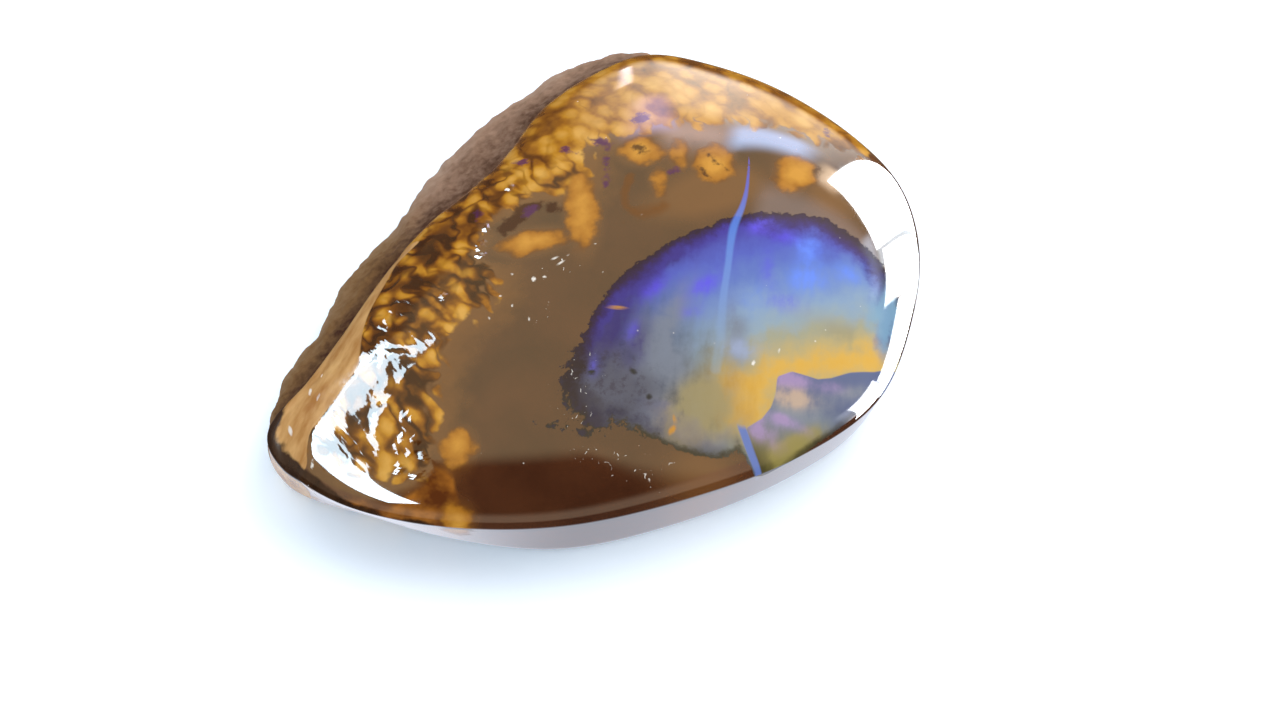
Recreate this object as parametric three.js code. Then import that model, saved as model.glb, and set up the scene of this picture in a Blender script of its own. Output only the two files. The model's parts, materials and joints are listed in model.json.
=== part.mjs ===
// A boulder opal cabochon: ironstone with a patch of opal grown into it, cut as one stone.
// Units are millimetres and +Z is up. The stone lies on its flat ground back at z = 0,
// with its long axis along X and the origin under the middle of its plan.
import * as THREE from 'three';
import { mergeVertices } from 'three/addons/utils/BufferGeometryUtils.js';

// Driving dimensions
const EDGE_HEIGHT = 3.0; // the sharp edge between the side and the polished face
const DOME_RISE = 2.7; // from that edge up to the top of the face
const DOME_CENTRE = new THREE.Vector2(3.6, -1.1); // plan position of the top
const SHOULDER_RUN = 9; // how far in the dome takes to level out
const SHOULDER_FULLNESS = 0.61; // less makes the shoulder steeper at the edge
const OUTLINE_FADE = 3; // more keeps the hollows of the outline nearer to the edge
const WAIST_HEIGHT = 1.2; // where the rough flank stands out furthest
const WAIST_TUCK = 0.6; // how far the side draws in again from there to the back
const BACK_ROUNDING = 0.3; // radius of the edge round the ground back
const LUMP_HEIGHT = 0.2; // of the lumps left natural on the flank
const LUMPY_REACH = 1.5; // a flank that reaches this far has lumps at full height
const LUMP_START = 0.8; // depth under the edge over which the lumps grow to full height

// Plan of the sharp edge, counter-clockwise from the right-hand end. The third number
// says how far the side stands out beyond the edge, as rough flank, or, where it is
// negative, how far it is cut back under the edge.
const EDGE_POINTS = [
  [13.11, -1.22, -0.5],
  [12.56, 1.48, -0.4],
  [11.01, 4.68, -0.2],
  [9.06, 7.03, 0.4],
  [7.16, 8.48, 1.2],
  [5.06, 8.53, 1.8],
  [2.41, 7.88, 1.95],
  [0.26, 6.48, 2.65],
  [-1.74, 5.58, 2.5],
  [-3.74, 4.93, 1.85],
  [-6.39, 3.48, 1.7],
  [-8.74, 1.88, 1.45],
  [-10.94, 0.48, 1.2],
  [-12.54, -0.32, 0.3],
  [-13.09, -1.22, -0.3],
  [-12.84, -2.82, -0.9],
  [-11.64, -4.92, -1.55],
  [-8.94, -7.22, -1.3],
  [-4.99, -9.17, -0.75],
  [-0.54, -10.12, -0.75],
  [4.26, -10.32, -0.9],
  [7.96, -9.42, -0.9],
  [10.86, -6.62, -0.7],
  [12.51, -3.92, -0.6],
];

// Fineness of the facets
const STATIONS = 96; // round the edge, a multiple of four
const FACE_RINGS = 18; // from the edge in to the middle panel
const FACE_RING_CROWDING = 1.7; // more than one crowds the rings towards the edge
const PANEL_SHARE = 0.5; // size of the middle panel against the whole face
const SIDE_RINGS = 9; // from the edge down to the rounding of the back
const ROUNDING_RINGS = 3;
const SMOOTHING_SPREAD = 10; // stations to each side that a smoothed radius is averaged over

const PANEL_CELLS = STATIONS / 4;

// Points round the edge, evenly spaced. Each has its outward direction, its reach, and
// its angle and distance as seen from the dome's centre. The smooth distance is that of
// the same outline without its hollows.
function edgeStations() {
  const curve = new THREE.CatmullRomCurve3(
    EDGE_POINTS.map(([x, y, reach]) => new THREE.Vector3(x, y, reach)),
    true,
    'centripetal',
  );
  const points = curve.getSpacedPoints(STATIONS).slice(0, STATIONS);
  const stations = points.map((point, i) => {
    const before = points[(i + STATIONS - 1) % STATIONS];
    const after = points[(i + 1) % STATIONS];
    const along = new THREE.Vector2(after.x - before.x, after.y - before.y).normalize();
    const plan = new THREE.Vector2(point.x, point.y);
    const spoke = plan.clone().sub(DOME_CENTRE);
    return {
      plan,
      outward: new THREE.Vector2(along.y, -along.x),
      reach: point.z,
      angle: spoke.angle(),
      full: spoke.length(),
    };
  });
  stations.forEach((station, i) => {
    let sum = 0;
    for (let k = -SMOOTHING_SPREAD; k <= SMOOTHING_SPREAD; k++) {
      sum += stations[(i + k + STATIONS) % STATIONS].full;
    }
    station.smooth = sum / (2 * SMOOTHING_SPREAD + 1);
  });
  return stations;
}

// Distance from the dome's centre at a share of the way out to the edge. Near the edge the
// face follows the outline, and further in the hollows fade out of it.
function radiusAt({ full, smooth }, share) {
  return share * (smooth + (full - smooth) * share ** OUTLINE_FADE);
}

// Height of the polished face at a share of the way out. The power makes the shoulder the
// same width in millimetres all round, on the long and the short sides.
function faceHeight({ smooth }, share) {
  const flatness = Math.max(2, (2 * smooth) / SHOULDER_RUN);
  const rise = (1 - share ** flatness) ** SHOULDER_FULLNESS;
  return EDGE_HEIGHT + DOME_RISE * rise;
}

// The radii in any direction from the dome's centre, between those of two stations.
function radiiTowards(stations, angle) {
  const turn = (a) => THREE.MathUtils.euclideanModulo(a, 2 * Math.PI);
  const i = stations.findIndex((station, k) => {
    const width = turn(stations[(k + 1) % STATIONS].angle - station.angle);
    return turn(angle - station.angle) <= width;
  });
  const [a, b] = [stations[i], stations[(i + 1) % STATIONS]];
  const t = turn(angle - a.angle) / turn(b.angle - a.angle);
  return {
    full: THREE.MathUtils.lerp(a.full, b.full, t),
    smooth: THREE.MathUtils.lerp(a.smooth, b.smooth, t),
  };
}

// The height of the face at a plan position inside the middle panel.
function panelHeight(stations, plan) {
  const spoke = plan.clone().sub(DOME_CENTRE);
  const radii = radiiTowards(stations, spoke.angle());
  let share = spoke.length() / radii.smooth;
  for (let step = 0; step < 8; step++) {
    share *= spoke.length() / Math.max(radiusAt(radii, share), Number.EPSILON);
  }
  return faceHeight(radii, share);
}

// Lumps of the natural flank: a few waves of different lengths that cross each other.
function lumpiness(x, y, z) {
  const broad = Math.sin(1.1 * x + 0.4 * z) * Math.cos(0.9 * y - 1.3 * z + 0.6);
  const middle = Math.sin(2.3 * x - 1.1 * y + 1.7 * z + 1.2);
  const small = Math.sin(3.9 * x + 2.7 * y - 3.1 * z);
  return 0.5 * broad + 0.3 * middle + 0.2 * small;
}

// How far the side stands out from the edge at a height. A rough flank swells to its full
// reach at the waist, and a cut side slopes straight in to the back.
function sideOffset(reach, height) {
  const down = (EDGE_HEIGHT - height) / (EDGE_HEIGHT - WAIST_HEIGHT);
  const swell = height > WAIST_HEIGHT ? Math.sin((down * Math.PI) / 2) : 1;
  const slope = (EDGE_HEIGHT - height) / EDGE_HEIGHT;
  const below = Math.max(0, (WAIST_HEIGHT - height) / WAIST_HEIGHT);
  const tuck = WAIST_TUCK * THREE.MathUtils.clamp(1 + reach / WAIST_TUCK, 0, 1);
  return reach * (reach > 0 ? swell : slope) - tuck * below ** 2;
}

function sidePoint(station, height, inset) {
  const { plan, outward, reach } = station;
  const out = sideOffset(reach, height) - inset;
  const x = plan.x + outward.x * out;
  const y = plan.y + outward.y * out;
  const natural = THREE.MathUtils.clamp(reach / LUMPY_REACH, 0, 1);
  const clearOfEdge = THREE.MathUtils.smoothstep(EDGE_HEIGHT - height, 0, LUMP_START);
  const lump = LUMP_HEIGHT * natural * clearOfEdge * lumpiness(x, y, height);
  return [x + outward.x * lump, y + outward.y * lump, height];
}

// One ring of points round the side, from a function of the station.
function addRing(positions, stations, pointAt) {
  const first = positions.length;
  stations.forEach((station) => positions.push(pointAt(station)));
  return stations.map((_, i) => first + i);
}

// A band of faces between a lower and an upper ring, or an outer and an inner one.
function joinRings(faces, outer, inner) {
  outer.forEach((_, i) => {
    const next = (i + 1) % outer.length;
    faces.push([outer[i], outer[next], inner[next]], [outer[i], inner[next], inner[i]]);
  });
}

// The middle of the face, as a square net of cells whose rim is the last ring. It has no
// point where many facets meet, so the polish runs smoothly over the top of the dome.
function addPanel(positions, faces, ring, stations) {
  const last = PANEL_CELLS;
  const rim = ring.map((index) => new THREE.Vector2(positions[index][0], positions[index][1]));
  const south = (i) => i;
  const east = (j) => last + j;
  const north = (i) => 3 * last - i;
  const west = (j) => (4 * last - j) % STATIONS;
  const between = (a, b, t) => rim[a].clone().lerp(rim[b], t);
  const net = [];
  for (let j = 0; j <= last; j++) {
    net.push([]);
    for (let i = 0; i <= last; i++) {
      if (j === 0) net[j].push(ring[south(i)]);
      else if (i === last) net[j].push(ring[east(j)]);
      else if (j === last) net[j].push(ring[north(i)]);
      else if (i === 0) net[j].push(ring[west(j)]);
      else {
        const s = i / last;
        const t = j / last;
        const corners = between(0, last, s).lerp(between(3 * last, 2 * last, s), t);
        const plan = between(south(i), north(i), t)
          .add(between(west(j), east(j), s))
          .sub(corners);
        net[j].push(positions.length);
        positions.push([plan.x, plan.y, panelHeight(stations, plan)]);
      }
    }
  }
  for (let j = 0; j < last; j++) {
    for (let i = 0; i < last; i++) {
      const [a, b] = [net[j][i], net[j][i + 1]];
      const [d, c] = [net[j + 1][i], net[j + 1][i + 1]];
      faces.push([a, b, c], [a, c, d]);
    }
  }
}

function boulderOpal() {
  const stations = edgeStations();
  const positions = [];
  const faces = [];

  // Ground back, a fan round one middle point
  const backMiddle = positions.length;
  positions.push([DOME_CENTRE.x, DOME_CENTRE.y, 0]);
  let ring = addRing(positions, stations, (station) => sidePoint(station, 0, BACK_ROUNDING));
  ring.forEach((index, i) => {
    faces.push([backMiddle, ring[(i + 1) % STATIONS], index]);
  });

  // Rounding of the lower edge, then the side up to the sharp edge
  const heights = [];
  for (let k = 1; k <= ROUNDING_RINGS; k++) {
    const turn = ((k / ROUNDING_RINGS) * Math.PI) / 2;
    heights.push([BACK_ROUNDING * (1 - Math.cos(turn)), BACK_ROUNDING * (1 - Math.sin(turn))]);
  }
  for (let k = 1; k <= SIDE_RINGS; k++) {
    heights.push([THREE.MathUtils.lerp(BACK_ROUNDING, EDGE_HEIGHT, k / SIDE_RINGS), 0]);
  }
  heights.forEach(([height, inset]) => {
    const above = addRing(positions, stations, (station) => sidePoint(station, height, inset));
    joinRings(faces, ring, above);
    ring = above;
  });

  // Polished face, in rings that crowd towards the edge, and the panel over its middle
  for (let k = 1; k <= FACE_RINGS; k++) {
    const share = 1 - (1 - PANEL_SHARE) * (k / FACE_RINGS) ** FACE_RING_CROWDING;
    const above = addRing(positions, stations, (station) => {
      const spoke = station.plan.clone().sub(DOME_CENTRE).setLength(radiusAt(station, share));
      const at = DOME_CENTRE.clone().add(spoke);
      return [at.x, at.y, faceHeight(station, share)];
    });
    joinRings(faces, ring, above);
    ring = above;
  }
  addPanel(positions, faces, ring, stations);

  const geometry = new THREE.BufferGeometry();
  geometry.setAttribute('position', new THREE.Float32BufferAttribute(positions.flat(), 3));
  geometry.setIndex(faces.flat());
  return centred(mergeVertices(geometry));
}

// Puts the origin under the middle of the plan.
function centred(geometry) {
  geometry.computeBoundingBox();
  const middle = geometry.boundingBox.getCenter(new THREE.Vector3());
  geometry.translate(-middle.x, -middle.y, 0);
  geometry.computeVertexNormals();
  return geometry;
}

const polishedIronstone = new THREE.MeshStandardMaterial({
  name: 'polished_ironstone',
  color: 0x5a3d24,
  roughness: 0.12,
  metalness: 0,
});

const stone = new THREE.Mesh(boulderOpal(), polishedIronstone);
stone.name = 'boulder_opal';

const model = new THREE.Group();
model.add(stone);

export default model;
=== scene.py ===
# %% [markdown]
# # A boulder opal cabochon
# The object is one natural stone, 26 mm long: ironstone with a patch of precious opal
# grown into it, cut and polished as one low dome. Nothing on it is a separate piece.
# So this lesson takes the solid stone from the frame, gives it a fine smooth surface,
# carves the low relief that the polish left, and spends most of its time on the finish.

# %% Load the frame
import json
import math
from functools import partial

import bpy
import numpy as np
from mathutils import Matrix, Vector

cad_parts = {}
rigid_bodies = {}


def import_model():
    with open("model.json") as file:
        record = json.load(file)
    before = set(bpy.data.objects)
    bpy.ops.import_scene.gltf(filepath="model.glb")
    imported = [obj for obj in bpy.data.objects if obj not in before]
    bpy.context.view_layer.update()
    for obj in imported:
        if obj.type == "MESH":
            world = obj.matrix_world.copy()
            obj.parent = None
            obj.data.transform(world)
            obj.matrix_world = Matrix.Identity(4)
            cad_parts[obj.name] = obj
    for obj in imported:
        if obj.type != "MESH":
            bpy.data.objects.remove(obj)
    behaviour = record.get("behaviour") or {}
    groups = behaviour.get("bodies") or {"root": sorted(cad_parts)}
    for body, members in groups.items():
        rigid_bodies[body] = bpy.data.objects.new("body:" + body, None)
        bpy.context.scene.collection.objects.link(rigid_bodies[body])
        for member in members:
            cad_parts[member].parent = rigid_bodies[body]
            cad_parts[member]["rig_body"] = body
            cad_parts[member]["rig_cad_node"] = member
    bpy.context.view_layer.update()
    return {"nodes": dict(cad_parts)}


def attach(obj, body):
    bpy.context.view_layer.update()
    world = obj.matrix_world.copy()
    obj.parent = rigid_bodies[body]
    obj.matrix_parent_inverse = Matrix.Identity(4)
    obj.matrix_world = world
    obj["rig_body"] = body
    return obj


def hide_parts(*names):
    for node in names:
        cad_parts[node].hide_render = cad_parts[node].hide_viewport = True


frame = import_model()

MM = 0.001  # the frame is in metres, and this stone is easier to think of in millimetres
STONE_NODE = "boulder_opal"

# %% [markdown]
# ## The camera
# The stone was photographed close up, from high above its long near side. A long lens
# keeps the perspective weak. We say where the camera looks, from which direction and how
# wide the view is there, and work out how far away it has to stand.

# %% Camera
VIEW_TURN = math.radians(-26)  # about the vertical, from looking along +Y
VIEW_HEIGHT = math.radians(57)  # above the table
VIEW_TARGET = Vector((0.806, -3.983, 3)) * MM
VIEW_WIDTH = 47.4 * MM  # what the frame takes in at the target
LENS = 150.0  # mm
SENSOR = 36.0  # mm

look_along = Vector((-math.sin(VIEW_TURN), math.cos(VIEW_TURN), 0))
look_right = Vector((math.cos(VIEW_TURN), math.sin(VIEW_TURN), 0))


def towards(turn, height):
    """A direction in degrees: turn is from straight ahead of the camera to its right."""
    ahead, up = math.radians(turn), math.radians(height)
    level = look_along * math.cos(ahead) + look_right * math.sin(ahead)
    return level * math.cos(up) + Vector((0, 0, math.sin(up)))


def aim(obj, place, target):
    """Put a camera or a lamp at a place, looking at a target."""
    obj.location = place
    obj.rotation_euler = (target - place).to_track_quat("-Z", "Y").to_euler()


bpy.ops.object.camera_add()
camera = bpy.context.object
camera.name = "camera"
camera.data.lens = LENS
camera.data.sensor_width = SENSOR
camera.data.clip_start = 10 * MM
camera_distance = VIEW_WIDTH * LENS / SENSOR
aim(camera, VIEW_TARGET + towards(180, math.degrees(VIEW_HEIGHT)) * camera_distance, VIEW_TARGET)
bpy.context.scene.camera = camera
print("camera stands", round(camera_distance / MM), "mm from the stone")

# %% [markdown]
# ## The body of the stone
# The solid in the frame has the right form, in flat facets. A copy of it is merged and
# turned back into the rings of four-sided faces that it was made from. The flat back is a
# fan of thin triangles, so it is taken out and filled with a grid. Subdivision then rounds
# everything but the girdle, where the polish meets the side: a crease keeps it crisp.

# %% Copy, merge and clean the solid
MERGE_WITHIN = 0.001 * MM


def only(obj):
    """Select one object alone and make it the one that operators act on."""
    bpy.ops.object.select_all(action="DESELECT")
    obj.select_set(True)
    bpy.context.view_layer.objects.active = obj


def pick(obj, kind, wanted):
    """In object mode, select the vertices, edges or faces that a test says yes to."""
    for items in (obj.data.vertices, obj.data.edges, obj.data.polygons):
        items.foreach_set("select", np.zeros(len(items), bool))
    for item in getattr(obj.data, kind):
        item.select = wanted(item)


only(frame["nodes"][STONE_NODE])
bpy.ops.object.duplicate()
stone = bpy.context.object
bpy.ops.object.parent_clear(type="CLEAR_KEEP_TRANSFORM")
stone.name = "polished_stone"
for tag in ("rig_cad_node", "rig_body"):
    if tag in stone:
        del stone[tag]

bpy.ops.object.mode_set(mode="EDIT")
bpy.ops.mesh.select_all(action="SELECT")
bpy.ops.mesh.remove_doubles(threshold=MERGE_WITHIN)
bpy.ops.mesh.tris_convert_to_quads()
bpy.ops.mesh.select_all(action="DESELECT")
bpy.ops.object.mode_set(mode="OBJECT")
print("merged stone has", len(stone.data.vertices), "points,", len(stone.data.polygons), "faces")

# %% Fill the back and crease the girdle
FACES_DOWN = -0.99  # the height of a normal: -1 is straight down
BACK_GRID = 24  # a quarter of the faces round the rim
GIRDLE_HEIGHT = 3.0 * MM
GIRDLE_CREASE = 0.85

pick(stone, "polygons", lambda face: face.normal.z < FACES_DOWN)
bpy.ops.object.mode_set(mode="EDIT")
bpy.ops.mesh.select_mode(type="FACE")
bpy.ops.mesh.dissolve_faces()
bpy.ops.mesh.delete(type="ONLY_FACE")
bpy.ops.mesh.select_mode(type="EDGE")
bpy.ops.mesh.select_non_manifold()
bpy.ops.mesh.fill_grid(span=BACK_GRID)
bpy.ops.mesh.select_all(action="DESELECT")
bpy.ops.object.mode_set(mode="OBJECT")

heights = np.array([point.co.z for point in stone.data.vertices])
on_girdle = np.abs(heights - GIRDLE_HEIGHT) < MERGE_WITHIN
pick(stone, "edges", lambda edge: all(on_girdle[i] for i in edge.vertices))
bpy.ops.object.mode_set(mode="EDIT")
bpy.ops.transform.edge_crease(value=GIRDLE_CREASE)
bpy.ops.mesh.select_all(action="SELECT")
bpy.ops.mesh.normals_make_consistent(inside=False)
bpy.ops.mesh.select_all(action="DESELECT")
bpy.ops.object.mode_set(mode="OBJECT")
print("girdle:", int(on_girdle.sum()), "points; faces:", len(stone.data.polygons))

# %% Round the facets
ROUNDING_LEVELS = 2
SHARP_OVER = math.radians(35)  # a sharper bend than this stays an edge

rounding = stone.modifiers.new("rounding", "SUBSURF")
rounding.levels = ROUNDING_LEVELS
rounding.render_levels = ROUNDING_LEVELS
bpy.ops.object.modifier_apply(modifier=rounding.name)
bpy.ops.object.shade_smooth_by_angle(angle=SHARP_OVER)
print("rounded stone has", len(stone.data.polygons), "faces")

# %% [markdown]
# ## Where the markings lie
# Opal, veins and golden nuts are grown into the stone and polished level with it, so they
# are colours and not pieces. In the steps below, the edge of each is drawn as a few points
# in plan, in millimetres. The mesh then stores, at each of its points, how far inside that
# edge the point lies. A distance is smooth, so the material can put a sharp, ragged edge
# anywhere along it, at any size of picture, and can let a colour run inwards from it.

# %% Helpers that measure distances to drawn lines
CURVE_STEPS = 6  # straight pieces from one drawn point to the next
LINE_LEAST = -4  # half widths: no place counts as farther outside a line
OVAL_LEAST = -9.0  # mm: no place counts as farther outside an oval


def curve_through(points, closed):
    """A smooth curve through given points, as rows of numbers."""
    rows = np.array(points, float)
    count = len(rows)
    out = []
    for i in range(count if closed else count - 1):
        if closed:
            a, b, c, d = (rows[(i + k) % count] for k in (-1, 0, 1, 2))
        else:
            a, b, c, d = rows[max(i - 1, 0)], rows[i], rows[i + 1], rows[min(i + 2, count - 1)]
        for k in range(CURVE_STEPS):
            t = k / CURVE_STEPS
            bend = (2 * a - 5 * b + 4 * c - d) * t * t + (3 * b - 3 * c + d - a) * t**3
            out.append(0.5 * (2 * b + (c - a) * t + bend))
    if not closed:
        out.append(rows[-1])
    return np.array(out)


def distance_along(line, places):
    """For each place, how far the line is, and the line's row of numbers at its nearest spot."""
    best = np.full(len(places), np.inf)
    nearest = np.zeros((len(places), line.shape[1]))
    for start, end in zip(line[:-1], line[1:]):
        run = end[:2] - start[:2]
        share = (places - start[:2]) @ run / (run @ run)
        share = np.clip(share, 0, 1)[:, None]
        gap = np.linalg.norm(places - start[:2] - share * run, axis=1)
        closer = gap < best
        best[closer] = gap[closer]
        nearest[closer] = (start + share * (end - start))[closer]
    return best, nearest


def inside_by(points, places, smooth=True):
    """How many millimetres inside a closed outline each place lies, negative outside it."""
    ring = curve_through(points, True) if smooth else np.array(points, float)
    ring = np.vstack([ring, ring[:1]])
    gap, _ = distance_along(ring, places)
    x, y = places[:, 0], places[:, 1]
    within = np.zeros(len(places), bool)
    for (ax, ay), (bx, by) in zip(ring[:-1, :2], ring[1:, :2]):
        if ay == by:
            continue
        crosses = (ay > y) != (by > y)
        within ^= crosses & (x < (bx - ax) * (y - ay) / (by - ay) + ax)
    return np.where(within, gap, -gap)


def within_line(points, places):
    """1 on the middle of a drawn line, 0 at its edges and less outside. The third number
    of each point is the line's half width there."""
    gap, nearest = distance_along(curve_through(points, False), places)
    return np.clip(1 - gap / nearest[:, 2], LINE_LEAST, 1)


def across_oval(oval, places):
    """How far out from an oval's middle each place lies: 1 is its edge."""
    x, y, length, width, turn = oval
    angle = math.radians(turn)
    along = (places[:, 0] - x) * math.cos(angle) + (places[:, 1] - y) * math.sin(angle)
    aside = (places[:, 1] - y) * math.cos(angle) - (places[:, 0] - x) * math.sin(angle)
    return np.hypot(along / length, aside / width)


def within_lumps(lumps, places):
    """How far inside the nearest of some ovals each place lies, in millimetres."""
    best = np.full(len(places), OVAL_LEAST)
    for lump in lumps:
        best = np.maximum(best, (1 - across_oval(lump, places)) * lump[3])
    return best


def soft_spots(spots, places):
    """Soft oval clouds added up. A sixth number is a cloud's strength, 1 if not given."""
    total = np.zeros(len(places))
    for *oval, strength in (spot if len(spot) == 6 else (*spot, 1) for spot in spots):
        total += strength * np.exp(-across_oval(oval, places) ** 2)
    return total


# %% Keep numbers at the points of the mesh
ON_FACE = 0.001  # mm below the girdle, less than which is the polished face

points = np.empty(len(stone.data.vertices) * 3)
stone.data.vertices.foreach_get("co", points)
points = points.reshape(-1, 3) / MM
plan = points[:, :2]
below_girdle = np.clip(GIRDLE_HEIGHT / MM - points[:, 2], 0, None)


def mark(**fields):
    """Keep a number for each point of the mesh, under a name that node trees can read."""
    for name, values in fields.items():
        field = stone.data.attributes.new(name, "FLOAT", "POINT")
        field.data.foreach_set("value", values)
        print(f"{name} runs from {values.min():.2f} to {values.max():.2f}")


AWAY = (0.438, 0.899)  # in plan, the way that the camera looks
mark(depth=below_girdle, down=-plan[:, 1] * AWAY[1] - plan[:, 0] * AWAY[0])

# %% [markdown]
# ## Helpers for patterns
# Every pattern below is a chain of nodes. One function adds a node, sets it and links its
# inputs, so a chain reads from top to bottom. Bound to one node tree it is called add.
# Colours are written as a screen shows them, and turned into the linear light that
# Blender mixes in.

# %% One function for colours and one for nodes
def linear(code):
    """A colour such as #a0522d as linear red, green, blue and full alpha."""
    levels = [int(code[i:i + 2], 16) / 255 for i in (1, 3, 5)]
    light = [v / 12.92 if v <= 0.04045 else ((v + 0.055) / 1.055) ** 2.4 for v in levels]
    return (*light, 1)


# Short words for kinds of node, each with its settings. A step takes a value, a low and a
# high mark, and what it gives below and above them, smooth between. A range is the same in
# a straight line. Lay takes a share, a colour, and the one that goes over it. Noise takes
# a place, one over the size of its clouds in millimetres, detail and roughness.
KINDS = {
    "step": ("ShaderNodeMapRange", {"interpolation_type": "SMOOTHSTEP"}),
    "range": ("ShaderNodeMapRange", {}),
    "lay": ("ShaderNodeMix", {"data_type": "RGBA"}),
    "ramp": ("ShaderNodeValToRGB", {}),
    "noise": ("ShaderNodeTexNoise", {}),
    "cells": ("ShaderNodeTexVoronoi", {}),
    "soft_cells": ("ShaderNodeTexVoronoi", {"feature": "SMOOTH_F1"}),
    "flat_cells": ("ShaderNodeTexVoronoi", {"voronoi_dimensions": "2D"}),
    "turn": ("ShaderNodeVectorRotate", {"rotation_type": "Z_AXIS"}),
    "split_place": ("ShaderNodeSeparateXYZ", {}),
    "split_colour": ("ShaderNodeSeparateColor", {}),
}
NUMBER_WORDS = {
    "plus": "ADD", "minus": "SUBTRACT", "times": "MULTIPLY", "times_plus": "MULTIPLY_ADD",
    "over": "DIVIDE", "smaller": "MINIMUM", "larger": "MAXIMUM", "size": "ABSOLUTE",
    "angle": "ARCTAN2",
}
VECTOR_WORDS = {
    "vector_plus": "ADD", "vector_minus": "SUBTRACT", "vector_times": "MULTIPLY",
    "vector_times_plus": "MULTIPLY_ADD", "vector_scale": "SCALE", "distance": "DISTANCE",
    "dot": "DOT_PRODUCT",
}
for word, operation in NUMBER_WORDS.items():
    KINDS[word] = ("ShaderNodeMath", {"operation": operation})
for word, operation in VECTOR_WORDS.items():
    KINDS[word] = ("ShaderNodeVectorMath", {"operation": operation})
print("short words for", len(KINDS), "kinds of node")


def measured(tree, name):
    """The output that reads a number kept on the mesh, in a node tree of either sort."""
    if tree.bl_idname == "GeometryNodeTree":
        reader = tree.nodes.new("GeometryNodeInputNamedAttribute")
        reader.inputs["Name"].default_value = name
        return reader.outputs["Attribute"]
    reader = tree.nodes.new("ShaderNodeAttribute")
    reader.attribute_name = name
    return reader.outputs["Fac"]


def put(tree, kind, *inputs, named=None, stops=()):
    """Add a node. Its inputs come in the order that it shows them, where None leaves one as
    it is, or by name. Each is a value, a socket, a node that gives its first output, a hex
    colour, or the name of a number kept on the mesh. A colour ramp has stops as well."""
    blender_name, settings = KINDS.get(kind, (kind, {}))
    new = tree.nodes.new(blender_name)
    for name, value in settings.items():
        setattr(new, name, value)
    shown = [slot for slot in new.inputs if slot.enabled]
    by_name = {slot.name: slot for slot in reversed(shown)}
    given = list(zip(shown, inputs))
    given += [(by_name[name], value) for name, value in (named or {}).items()]
    for slot, value in given:
        if isinstance(value, str):
            value = linear(value) if value.startswith("#") else measured(tree, value)
        if isinstance(value, bpy.types.Node):
            value = next(out for out in value.outputs if out.enabled)
        if isinstance(value, bpy.types.NodeSocket):
            tree.links.new(value, slot)
        elif value is not None:
            slot.default_value = value
    for i, (at, code) in enumerate(stops):
        stop = new.color_ramp.elements[i] if i < 2 else new.color_ramp.elements.new(at)
        stop.position = at
        stop.color = linear(code)
    return new


def stretched(add, place, turn, share):
    """A place whose pattern is drawn out along a direction in plan, in degrees."""
    turned = add("turn", place, None, math.radians(-turn))
    return add("vector_times", turned, (share, 1, share))


# %% [markdown]
# ## The pattern of the golden nuts
# The nuts are walnut-like lumps of golden opal, about a millimetre long, cut through by
# the polish so that thin dark seams wind between folded shapes. They are harder than the
# seams, and stand a few hundredths of a millimetre proud. A soft noise has just such
# winding lines where it passes through its middle value. One function draws them, for the
# relief and again for the colour, so that the two line up.

# %% Nuts, drawn in any node tree
NUT_SIZE = 0.6  # mm across
NUT_TURN = -78  # degrees in plan, the long way of the nuts
NUT_STRETCH = 0.6  # width against length
SWIRL = 0.9  # mm that the shapes are pulled about
print("nuts are about", NUT_SIZE, "mm across and", round(NUT_SIZE / NUT_STRETCH, 1), "mm long")


def draw_nuts(add, place):
    """From a place in millimetres: how far a point is up from the seam beside its nut, from
    0 to about 0.3, and a slow value that swirls across the nuts."""
    pull = add("noise", place, 1 / 1.2, 1)
    centred = add("vector_minus", pull.outputs["Color"], (0.5, 0.5, 0.5))
    pulled = add("vector_times_plus", centred, (SWIRL, SWIRL, SWIRL), place)
    long_way = stretched(add, pulled, NUT_TURN, NUT_STRETCH)
    folds = add("noise", long_way, 1 / NUT_SIZE, 1.6, 0.35)
    up = add("size", add("minus", folds, 0.5))
    swirls = add("noise", long_way, 1 / (2.4 * NUT_SIZE), 2)
    return up, swirls


# %% Where the surface is carved
# Where the polish over the nuts is wavy.
RELIEF_ZONE = [
    (-7.3, 0.6), (-8.3, -0.1), (-9, -1.3), (-9.7, -2.3), (-10.3, -3), (-10.5, -3.7),
    (-10.3, -4.6), (-9.7, -5.4), (-8.9, -6), (-8, -6), (-7.3, -4.8), (-7, -3.4), (-7.2, -2),
    (-7.2, -1), (-7, 0.2),
]
OCHRE_STRIP = [
    (-4.5, 3.9), (-5.6, 3.4), (-6.5, 2.6), (-7.5, 1.7), (-8.2, 0.8), (-8.7, -0.1), (-9.1, -0.75),
    (-9.9, -1.25), (-10.9, -1.8), (-11.6, -2.1), (-12, -2.6), (-12.4, -3.2), (-13.6, -3.2),
    (-13.5, 0), (-11, 1.6), (-8.5, 3), (-6, 4.4),
]
# The rough flank lies beyond a straight line from the tip to the far right of the rim.
SKIN_FROM = np.array((-12.9, -1))
SKIN_TO = np.array((9.9, 6.2))
RELIEF_FADE = 0.7  # mm in from the side of the wavy zone

skin_run = (SKIN_TO - SKIN_FROM) / np.linalg.norm(SKIN_TO - SKIN_FROM)
skin = (plan - SKIN_FROM) @ np.array((-skin_run[1], skin_run[0]))
wavy_share = np.clip(inside_by(RELIEF_ZONE, plan) / RELIEF_FADE, 0, 1)
mark(relief=wavy_share * (below_girdle < ON_FACE), ochre=inside_by(OCHRE_STRIP, plan), skin=skin)

# %% Press the pattern into the surface
NUT_RELIEF = 0.034  # mm in the zone where the polish is wavy
SKIN_RELIEF = 0.14  # mm of the natural flank
BEVEL_SLOPE = 0.28  # of the ochre strip, below the face beside it
BEVEL_DROP = 0.42  # mm at most

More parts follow.
